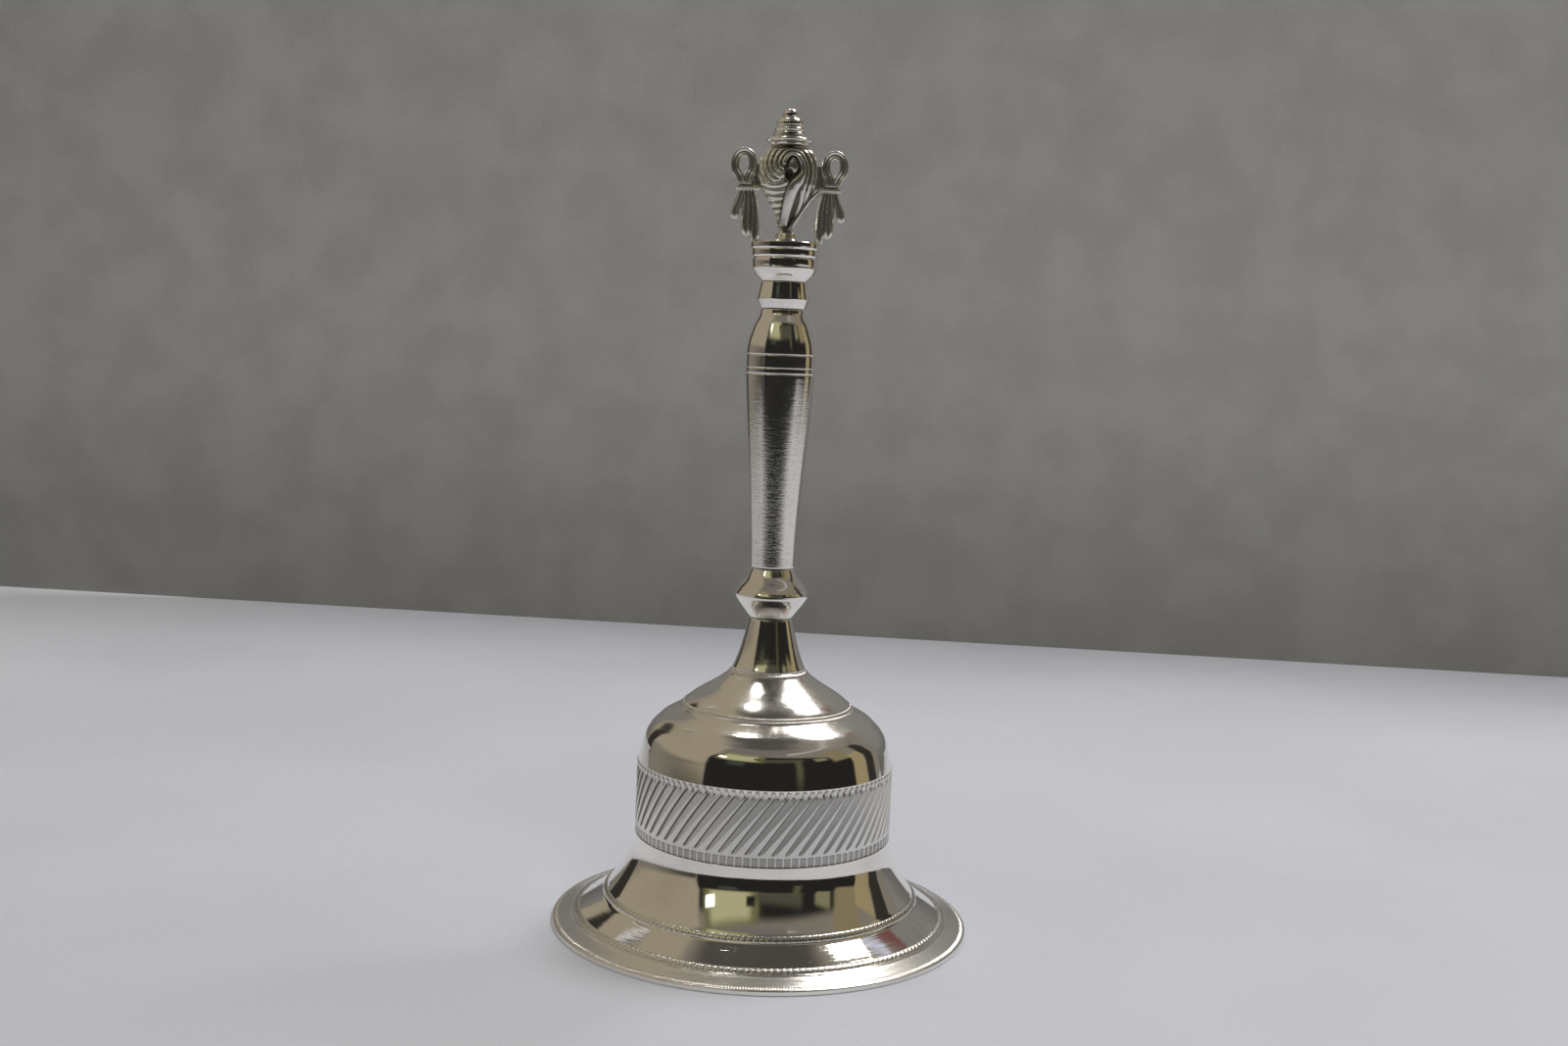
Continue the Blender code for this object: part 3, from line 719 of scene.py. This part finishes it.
def make_conch():
    """The conch: a pear-shaped shell displaced by the relief, the same front and back."""
    _, low, top = span("conch")
    heights = np.concatenate([[low], [CONCH_TIP - 0.1], np.linspace(CONCH_TIP, top, 210)])
    around = 300
    angle = np.arange(around) * tau / around
    half_width, half_depth, centre = conch_section(heights)
    foot = heights < CONCH_TIP
    half_width[foot] = half_depth[foot] = 1.2
    centre[foot] = 0.0
    wide, deep, mid = (v[:, None] for v in (half_width, half_depth, centre))
    x = mid + wide * np.cos(angle)
    y = deep * np.sin(angle)
    z = np.repeat(heights[:, None], around, 1)
    mirrored = np.where(np.sin(angle) > 0, -x, x)
    relief, painted_shade = conch_relief(mirrored, z)
    facing = step(0.05, 0.45, np.abs(np.sin(angle)))[None, :]
    fade = step(CONCH_TIP, CONCH_TIP + 0.8, z) * step(top + 0.1, top - 0.5, z)
    normal = np.stack([np.cos(angle) / wide, np.sin(angle) / deep], -1)
    normal = normal / np.linalg.norm(normal, axis=-1, keepdims=True)
    push = relief * fade * (0.25 + 0.75 * facing)
    x = x + normal[..., 0] * push
    y = y + normal[..., 1] * push
    verts = np.stack([x, y, z], -1).reshape(-1, 3)
    count = len(heights)
    index = np.arange(count * around).reshape(count, around)
    a, b = index[:-1], index[1:]
    faces = np.stack([a, np.roll(a, -1, 1), np.roll(b, -1, 1), b], -1).reshape(-1, 4).tolist()
    faces.append(index[0][::-1].tolist())
    faces.append(index[-1].tolist())
    # The conch carries the painted shade of its relief, faded out at its ends.
    piece("conch_shell", verts, faces, CAST, ["conch"], sharp=70, painted_shade=(painted_shade * fade).ravel())


def make_sash():
    """The band that crosses the conch's lower right side, from the ribbon to the foot."""
    path = flow([(5.7, 136.4), (4.95, 135.75), (4.1, 134.9), (3.35, 133.9), (2.65, 132.85), (1.7, 131.4),
                 (0.8, 130.0), (0.6, 129.6)], 8)
    share = np.linspace(0.0, 1.0, len(path))
    verts, faces = sweep(path, 0.34 + 0.26 * np.sin(share * 0.8 * pi), 2.3 - 0.8 * share, PLAIN)
    piece("conch_sash", verts, faces, CAST, ["conch"], sharp=60)


def sweep(points, widths, depths, section, closed=False):
    """A solid swept along an (x, z) path: section gives (across, y) for unit half width and half depth."""
    path = np.array(points, float)
    if closed:
        ahead, behind = np.roll(path, -1, 0), np.roll(path, 1, 0)
    else:
        ahead, behind = np.vstack([path[1:], path[-1:]]), np.vstack([path[:1], path[:-1]])
    tangent = ahead - behind
    tangent = tangent / np.linalg.norm(tangent, axis=1, keepdims=True)
    across = np.stack([tangent[:, 1], -tangent[:, 0]], -1)
    shape = np.array(section, float)
    offset = shape[None, :, :1] * np.array(widths, float)[:, None, None]
    xz = path[:, None, :] + across[:, None, :] * offset
    y = shape[None, :, 1] * np.array(depths, float)[:, None]
    verts = np.stack([xz[..., 0], y, xz[..., 1]], -1).reshape(-1, 3)
    rings, count = len(path), len(shape)
    index = np.arange(rings * count).reshape(rings, count)
    low, high = (index, np.roll(index, -1, 0)) if closed else (index[:-1], index[1:])
    faces = np.stack([low, np.roll(low, -1, 1), np.roll(high, -1, 1), high], -1).reshape(-1, 4).tolist()
    if not closed:
        faces += [index[0][::-1].tolist(), index[-1].tolist()]
    return verts, faces


def grooved(grooves, depth):
    """A rounded cross-section whose front and back carry shallow grooves."""
    count = 40
    angle = np.arange(count) * tau / count
    across, y = np.cos(angle), np.sin(angle)
    flat = np.sign(y) * np.abs(y) ** 0.6
    return [(a, f * (1.0 - depth * (0.5 + 0.5 * cos(a * pi * grooves)))) for a, f in zip(across, flat)]


PLAIN = grooved(0, 0.0)


def even_sweep(points, width, depth, section=PLAIN, closed=False):
    """A sweep of one width and depth all along."""
    return sweep(points, [width] * len(points), [depth] * len(points), section, closed)


def lobe(points, width, taper):
    """A tail lobe: narrow at the tie band, swelling and then rounded off at its end."""
    path = flow(points, 10)
    t = np.linspace(0.0, 1.0, len(path))
    swell = taper + (1.0 - taper) * np.sin(np.minimum(t / 0.75, 1.0) * pi / 2)
    end = np.sqrt(np.clip(1.0 - np.clip((t - 0.82) / 0.18, 0.0, 1.0) ** 2, 0.02, 1.0))
    return path, width * swell * end, 1.05 * (0.75 + 0.25 * swell) * end


def ribbon_parts():
    """The right ribbon's overlapping solids: loop, tie band, tail lobes and the web to the conch."""
    loop = arc((8.45, 141.1), (1.66, 2.2), -50, 230, 44)
    loop += flow([(7.55, 138.9), (7.75, 138.0), (7.9, 137.4)], 4)[:-1]
    loop += flow([(8.5, 137.4), (8.85, 138.2), (9.3, 139.2)], 4)[:-1]
    yield even_sweep(loop, 0.84, 1.15, grooved(1, 0.45), closed=True)
    yield even_sweep(flow([(5.7, 136.85), (7.6, 136.78), (9.7, 136.8)], 6), 0.42, 1.36)
    yield even_sweep(flow([(6.9, 137.6), (8.1, 137.62), (9.3, 137.6)], 6), 0.30, 1.2)
    tails = (([(8.6, 136.5), (9.2, 134.6), (9.75, 133.0), (10.0, 131.2)], 0.88, 0.55),
             ([(7.8, 136.5), (7.75, 133.6), (7.75, 130.8), (7.45, 128.2)], 1.00, 0.60),
             ([(6.8, 136.5), (6.25, 133.6), (6.05, 130.4), (6.15, 127.0)], 0.90, 0.62))
    for points, width, taper in tails:
        path, widths, depths = lobe(points, width, taper)
        yield sweep(path, widths, depths, grooved(2, 0.40))
    yield sweep([(5.9, 137.0), (5.75, 139.0), (5.9, 141.3)], [0.9, 0.95, 0.75], [0.5, 0.5, 0.45], PLAIN)


def make_ribbon(name, side, node, shift=0.0):
    """Joins the ribbon's solids by a fine voxel remesh, so that it reads as one casting."""
    verts, faces = [], []
    for part, quads in ribbon_parts():
        start = len(verts)
        verts += [(side * x + shift, y, z) for x, y, z in part]
        faces += [[start + i for i in (quad if side > 0 else quad[::-1])] for quad in quads]
    mesh = bpy.data.meshes.new(name)
    mesh.from_pydata([tuple(c * MM for c in v) for v in verts], [], faces)
    obj = bpy.data.objects.new(name, mesh)
    bpy.context.scene.collection.objects.link(obj)
    remesh = obj.modifiers.new("join", "REMESH")
    remesh.mode = "VOXEL"
    remesh.voxel_size = 0.075 * MM
    smooth = obj.modifiers.new("soften", "SMOOTH")
    smooth.factor = 0.5
    smooth.iterations = 3
    bake_modifiers(obj)
    return dress(obj, CAST, [node])


def bake_modifiers(obj, sharp=70):
    """Replaces the object's mesh by what its modifiers make of it."""
    depsgraph = bpy.context.evaluated_depsgraph_get()
    mesh = bpy.data.meshes.new_from_object(obj.evaluated_get(depsgraph))
    obj.modifiers.clear()
    obj.data = mesh
    mesh.shade_smooth()
    mesh.set_sharp_from_angle(angle=radians(sharp))


# ---------------------------------------------------------------- the hidden parts

def ring_mesh(radius, wire, height, plane):
    """A round ring in the XZ or YZ plane."""
    around, across = 72, 28
    a, b = np.meshgrid(np.arange(around) * tau / around, np.arange(across) * tau / across, indexing="ij")
    out = radius + wire * np.cos(b)
    p, q, s = out * np.cos(a), out * np.sin(a), wire * np.sin(b)
    parts = (p, -s, q + height) if plane == "XZ" else (s, p, q + height)
    verts = np.stack(parts, -1).reshape(-1, 3)
    index = np.arange(around * across).reshape(around, across)
    over = np.roll(index, -1, 0)
    faces = np.stack([index, over, np.roll(over, -1, 1), np.roll(index, -1, 1)], -1).reshape(-1, 4).tolist()
    return verts, faces


def join_solid(obj, verts, faces):
    """Joins another solid to obj."""
    mesh = bpy.data.meshes.new("tool")
    mesh.from_pydata((np.asarray(verts) * MM).tolist(), [], faces)
    tool = bpy.data.objects.new("tool", mesh)
    bpy.context.scene.collection.objects.link(tool)
    modifier = obj.modifiers.new("join", "BOOLEAN")
    modifier.operation = "UNION"
    modifier.solver = "EXACT"
    modifier.object = tool
    bake_modifiers(obj, 35)
    bpy.data.objects.remove(tool)


def make_washer():
    radius, low, high = span("crown_washer")
    outline = [(BORE + 0.1, high), (radius, high), (radius, low), (BORE + 0.1, low)]
    turned_piece("washer", fillet(outline, 0.15), 96, BRASS, ["crown_washer"], slot="brass")


def make_link():
    _, low, high = span("clapper_link")
    wire = 0.6
    verts, faces = ring_mesh((high - low) / 2 - wire, wire, (high + low) / 2, "YZ")
    piece("link_ring", verts, faces, STEEL, ["clapper_link"], body="link", slot="steel")


def make_clapper():
    """The rod with its eye, a collar over the ball and a riveted end under it; then the bored ball."""
    _, low, high = span("clapper_rod")
    wire, eye = 0.65, 1.8
    ball_radius, ball_low, ball_high = span("clapper_ball")
    seat_above, seat_below = ball_high + 0.3, ball_low - 0.3
    outline = [(0, 32.2), (0.45, 32.2), (0.62, 31.2)] + flow([(0.8, 30.6), (1.05, 29.9), (1.2, 29.2)], 6)
    outline += [(1.2, seat_above + 1.3), (1.9, seat_above + 1.0), (1.9, seat_above + 0.1), (1.2, seat_above)]
    outline += [(1.2, seat_below), (1.9, seat_below - 0.05), (1.95, seat_below - 0.6), (1.3, low + 0.1)]
    outline += [(0, low)]
    rod = turned_piece("clapper_stem", fillet(outline, 0.2, closed=False), 96, BRASS, ["clapper_rod"],
                       body="clapper", slot="brass")
    join_solid(rod, *ring_mesh(eye, wire, high - wire - eye, "XZ"))

    bore = 1.5
    tilt = np.degrees(np.arccos(bore / ball_radius))
    centre = (ball_low + ball_high) / 2
    outline = fillet(arc((0, centre), (ball_radius, ball_radius), tilt, -tilt, 64), 0.15)
    turned_piece("clapper_bob", outline, 128, BRASS, ["clapper_ball"], body="clapper", slot="brass")


def make_eye_nut():
    """A hexagon nut with turned corners, a blind bore and a ring eye."""
    _, low, high = span("eye_nut")
    base = 40.9
    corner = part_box("eye_nut")[1].y / MM
    flat = corner * cos(pi / 6)
    outline = [(0, 41.7), (BORE, 41.7), (BORE, high), (flat - 0.1, high), (corner, high - 0.55),
               (corner, base + 0.55), (flat - 0.1, base), (0, base)]

    def hexagon(angle, radius, height):
        facet = (angle - pi / 6) % (pi / 3) - pi / 6
        return np.minimum(radius, flat / np.cos(facet)), height, 0 * height

    nut = turned_piece("hanging_nut", outline, 144, BRASS, ["eye_nut"], relief=hexagon, slot="brass",
                       sharp=25)
    wire, eye = 0.7, 2.0
    join_solid(nut, *ring_mesh(eye, wire, low + wire + eye, "XZ"))


# ---------------------------------------------------------------- stage, light and camera

def sheet(name, corners, material):
    """A flat four-cornered stage surface that a camera or a ray behind it doesn't see."""
    mesh = bpy.data.meshes.new(name)
    mesh.from_pydata(corners, [], [(0, 1, 2, 3)])
    obj = bpy.data.objects.new(name, mesh)
    bpy.context.scene.collection.objects.link(obj)
    obj.data.materials.append(material)
    return obj


def matte(name, tones, scale, hidden, foot_shade=0.0):
    """A plain matt surface with faint mottling between two tones.

    hidden gives where rays pass through it. foot_shade darkens it near its foot.
    """
    material = bpy.data.materials.new(name)
    material.use_nodes = True
    n = Nodes(material.node_tree)
    shader = n.nodes["Principled BSDF"]
    place = n.new("ShaderNodeTexCoord").outputs["Object"]
    tone = n.ramp(n.noise(place, scale, 4.0), 0.35, 0.65)
    color = n.mix(tone, (*tones[0], 1.0), (*tones[1], 1.0))
    foot = n.ramp(n.split(place)[2], 0.0, 0.13, foot_shade, 0.0)
    n.put(shader.inputs["Base Color"], n.mix(foot, color, (0.1, 0.095, 0.08, 1.0)))
    shader.inputs["Roughness"].default_value = 0.85
    shader.inputs["Specular IOR Level"].default_value = 0.15
    bump = n.new("ShaderNodeBump")
    bump.inputs["Distance"].default_value = 0.2 * MM
    n.put(bump.inputs["Height"], n.noise(place, 700.0, 2.0))
    n.put(shader.inputs["Normal"], bump.outputs[0])
    back = n.new("ShaderNodeNewGeometry").outputs["Backfacing"]
    blend = n.new("ShaderNodeMixShader")
    n.put(blend.inputs[0], n.most(back, hidden(n, n.split(place))))
    n.put(blend.inputs[1], shader.outputs[0])
    n.put(blend.inputs[2], n.new("ShaderNodeBsdfTransparent").outputs[0])
    n.put(n.nodes["Material Output"].inputs["Surface"], blend.outputs[0])
    return material


def reflected(n, mask):
    """The mask for every ray but the camera's own."""
    camera = n.new("ShaderNodeLightPath").outputs["Is Camera Ray"]
    return n.times(mask, n.math("SUBTRACT", 1.0, camera))


def off_the_table(n, place):
    """1 where a reflected ray is past the table's edges, or under the cup, which lets light into it."""
    x, y, _ = place
    middle = n.add(n.times(x, x), n.times(y, y))
    near = n.add(y, n.times(n.most(x, 0.0), 0.26))
    past = n.most(n.ramp(near, -0.240, -0.243), n.ramp(x, -0.55, -0.553))
    past = n.most(past, n.ramp(x, 0.75, 0.753))
    past = n.most(past, n.math("LESS_THAN", middle, (0.9 * RIM_RADIUS * MM) ** 2))
    return reflected(n, past)


def off_the_board(n, place):
    """1 where a reflected ray is past the ends of the board's middle part."""
    return reflected(n, n.most(n.ramp(place[0], -0.235, -0.238), n.ramp(place[0], 0.41, 0.413)))


def make_stage():
    """A plain pale table top and a plain grey board behind it, turned a little."""
    ground = CAD_BOX[0].z
    near, far, side = -1.5, 0.5, 1.8
    pale = matte("pale_table", ((0.62, 0.64, 0.715), (0.66, 0.68, 0.755)), 9.0, off_the_table)
    corners = [(-side, near), (side, near), (side, far), (-side, far)]
    sheet("table", [(x, y, ground) for x, y in corners], pale)
    grey = matte("grey_board", ((0.455, 0.448, 0.437), (0.515, 0.508, 0.497)), 40.0, off_the_board, 0.40)
    left, right, foot, head = -0.335, 0.62, -0.01, 0.345
    board = sheet("board", [(left, 0, foot), (right, 0, foot), (right, 0, head), (left, 0, head)], grey)
    board.location.y = 0.338
    board.rotation_euler.z = radians(-6.5)


# What the metal mirrors. Each patch: azimuth from and to and height from and to in degrees, its colour,
# and how soft its edge is. Azimuth 0 is behind the camera and 90 on the right. Later ones cover earlier.
CEILING_AND_LEFT_WALL = [
    (-60, 60, 55, 72, (0.16, 0.145, 0.14), 2.0),
    (-200, -57, -90, 66, (0.31, 0.27, 0.20), 2.0)]
LEFT_WALL_DETAIL = [
    (-144, -131, -20, 30, (0.03, 0.027, 0.023), 1.0),
    (-129, -126, 40, 50, (0.62, 0.62, 0.64), 1.0),
    (-125, -122, 40, 50, (0.06, 0.06, 0.06), 1.0)]
WINDOWS_AND_RIGHT_WALL = [
    (-52, 0, 29, 54, (0.15, 0.14, 0.07), 3.0),
    (-46, -8, 31, 51, (0.40, 0.39, 0.23), 3.5),
    (-182, -135, 67, 79, (0.17, 0.18, 0.155), 2.0),
    (-50, -42, 36, 42, (2.6, 2.7, 2.3), 1.0),
    (-36, -20, 20, 27, (0.05, 0.06, 0.05), 3.0),
    (-12, -4, 38, 44, (0.01, 0.012, 0.012), 1.0),
    (-2, 40, 30, 42, (0.075, 0.07, 0.052), 3.0),
    (70, 92, 20, 46, (0.22, 0.185, 0.11), 2.5),
    (30, 36, 12, 34, (0.09, 0.09, 0.05), 2.5),
    (52, 66, 27, 38, (0.20, 0.19, 0.11), 2.0),
    (90, 106, -90, 30, (0.30, 0.25, 0.14), 1.0),
    (107, 119, -90, 40, (0.03, 0.028, 0.024), 1.0),
    (110, 124, 50, 59, (0.30, 0.27, 0.17), 1.5),
    (122, 128, 44, 52, (0.60, 0.62, 0.75), 1.5),
    (129, 137, 36, 46, (0.17, 0.07, 0.07), 1.5),
    (30, 112, 55, 58, (0.42, 0.40, 0.38), 1.0)]


def window(n, value, low, high, soft):
    """1 between low and high, with soft edges."""
    return n.times(n.ramp(value, low - soft, low + soft), n.ramp(value, high + soft, high - soft))


def paint(n, color, azimuth, height, patches):
    """The colour with each patch laid over it."""
    for left, right, low, high, tone, soft in patches:
        mask = n.times(window(n, azimuth, left, right, soft), window(n, height, low, high, soft))
        color = n.mix(mask, color, (*tone, 1.0))
    return color


def studio_color(n, azimuth, height):
    """A dark end behind the camera, warm side walls, a dim ceiling and a light behind the bell."""
    color = n.mix(n.ramp(height, 66.0, 74.0), (0.20, 0.18, 0.15, 1), (0.07, 0.065, 0.058, 1))
    color = paint(n, color, azimuth, height, CEILING_AND_LEFT_WALL)
    low_wall = n.mix(n.ramp(azimuth, -115.0, -52.0), (0.19, 0.175, 0.145, 1), (0.045, 0.04, 0.034, 1))
    low_left = n.times(window(n, azimuth, -200, -57, 1.0), n.ramp(height, 14.0, 4.0))
    color = n.mix(low_left, color, low_wall)
    color = paint(n, color, azimuth, height, LEFT_WALL_DETAIL)
    arch = n.math("SUBTRACT", 55.0, n.times(n.times(azimuth, azimuth), 0.0028))
    dark = n.times(window(n, azimuth, -56.0, 92.0, 1.5), n.ramp(n.math("SUBTRACT", arch, height), 0.0, 7.0))
    color = n.mix(dark, color, (0.017, 0.0165, 0.015, 1.0))
    color = paint(n, color, azimuth, height, WINDOWS_AND_RIGHT_WALL)
    behind = n.times(n.ramp(n.math("ABSOLUTE", azimuth), 170.0, 173.0), window(n, height, 45, 60, 1.0))
    return n.mix(behind, color, (1.1, 1.1, 1.05, 1.0))


def make_world():
    """The studio for every ray but the camera's, which sees an even grey."""
    world = bpy.data.worlds.new("studio")
    bpy.context.scene.world = world
    world.use_nodes = True
    n = Nodes(world.node_tree)
    x, y, z = n.split(n.new("ShaderNodeTexCoord").outputs["Generated"])
    azimuth = n.times(n.math("ARCTAN2", x, n.times(y, -1.0)), 180 / pi)
    height = n.times(n.math("ARCSINE", z), 180 / pi)
    mirrored = n.new("ShaderNodeBackground")
    n.put(mirrored.inputs["Color"], studio_color(n, azimuth, height))
    seen = n.new("ShaderNodeBackground")
    seen.inputs["Color"].default_value = (0.42, 0.42, 0.42, 1)
    blend = n.new("ShaderNodeMixShader")
    n.put(blend.inputs[0], n.new("ShaderNodeLightPath").outputs["Is Camera Ray"])
    n.put(blend.inputs[1], mirrored.outputs[0])
    n.put(blend.inputs[2], seen.outputs[0])
    n.put(n.nodes["World Output"].inputs["Surface"], blend.outputs[0])


def softbox(name, azimuth, height, distance, size, power, mirrored=True):
    """An area light that looks at the bell; azimuth 0 is behind the camera, 90 on the right.

    One that isn't mirrored lights the matt stage and satin metal only.
    """
    light = bpy.data.lights.new(name, "AREA")
    light.shape = "RECTANGLE"
    light.size, light.size_y = size
    light.energy = power
    light.color = (1.0, 0.99, 0.97)
    obj = bpy.data.objects.new(name, light)
    a, e = radians(azimuth), radians(height)
    away = Vector((sin(a) * cos(e), -cos(a) * cos(e), sin(e)))
    obj.location = away * distance
    obj.rotation_mode = "QUATERNION"
    obj.rotation_quaternion = away.to_track_quat("Z", "Y")
    obj.visible_glossy = mirrored
    bpy.context.scene.collection.objects.link(obj)


def make_lights():
    softbox("top_right", 136, 60, 1.0, (0.40, 0.22), 3.8)
    softbox("top_left", -140, 76, 1.0, (0.08, 0.09), 0.55)
    softbox("fill", 10, 60, 1.7, (1.2, 1.0), 9.0, mirrored=False)


def make_camera():
    """The camera: level with the handle, a little above the cup, tipped down and rolled slightly."""
    data = bpy.data.cameras.new("camera")
    data.sensor_width = 36.0
    data.lens = 38.53
    data.clip_start = 0.01
    camera = bpy.data.objects.new("camera", data)
    turn_right, tip_down, roll = radians(0.33), radians(5.61), radians(2.33)
    camera.matrix_world = (Matrix.Translation((0.0, -0.3105, 0.1063)) @ Matrix.Rotation(-turn_right, 4, "Z")
                           @ Matrix.Rotation(radians(90) - tip_down, 4, "X") @ Matrix.Rotation(roll, 4, "Z"))
    bpy.context.scene.collection.objects.link(camera)
    bpy.context.scene.camera = camera


def carry_over():
    """The one CAD node that stays: the tie rod, hidden inside the handle."""
    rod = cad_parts["tie_rod"]
    rod.data.materials.clear()
    rod.data.materials.append(STEEL)


make_bell()
make_knurling()
make_neck()
make_knob()
make_grip()
make_spool()
make_cup()
make_cap()
make_conch()
make_sash()
make_ribbon("ribbon_left_cast", -1, "ribbon_left", 0.35)
make_ribbon("ribbon_right_cast", 1, "ribbon_right")
make_washer()
make_eye_nut()
make_link()
make_clapper()
carry_over()
make_stage()
make_world()
make_lights()
make_camera()
bpy.context.scene.view_settings.view_transform = "Standard"
